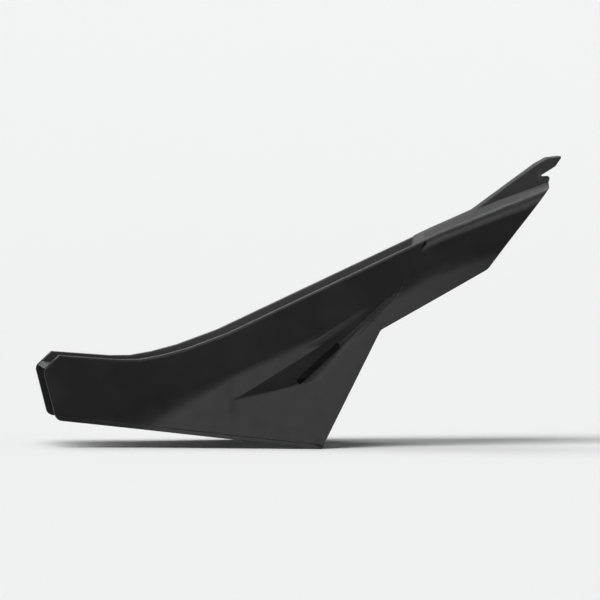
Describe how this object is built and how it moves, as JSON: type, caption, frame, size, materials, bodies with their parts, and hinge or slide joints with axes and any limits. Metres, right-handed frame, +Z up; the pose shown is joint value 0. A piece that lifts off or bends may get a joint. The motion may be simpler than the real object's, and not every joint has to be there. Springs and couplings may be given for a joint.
{
  "type": "motorcycle mudguard extender",
  "caption": "Thin black moulded shell that bolts over a motorcycle's rear tyre and lengthens its mudguard, with flared skirts, slotted side scoops and a notched tail.",
  "frame": {"origin": "middle of the bolting land on the front deck, on its upper face, between the bolt holes", "axes": "+X to the rear of the motorcycle, +Y to its right side, +Z up out of the bolting land"},
  "size_m": [0.3514, 0.188, 0.1944],
  "materials": {
    "moulded_plastic": "satin"
  },
  "bodies": {
    "root": {"mudguard_extender": "moulded_plastic"}
  },
  "joints": []
}
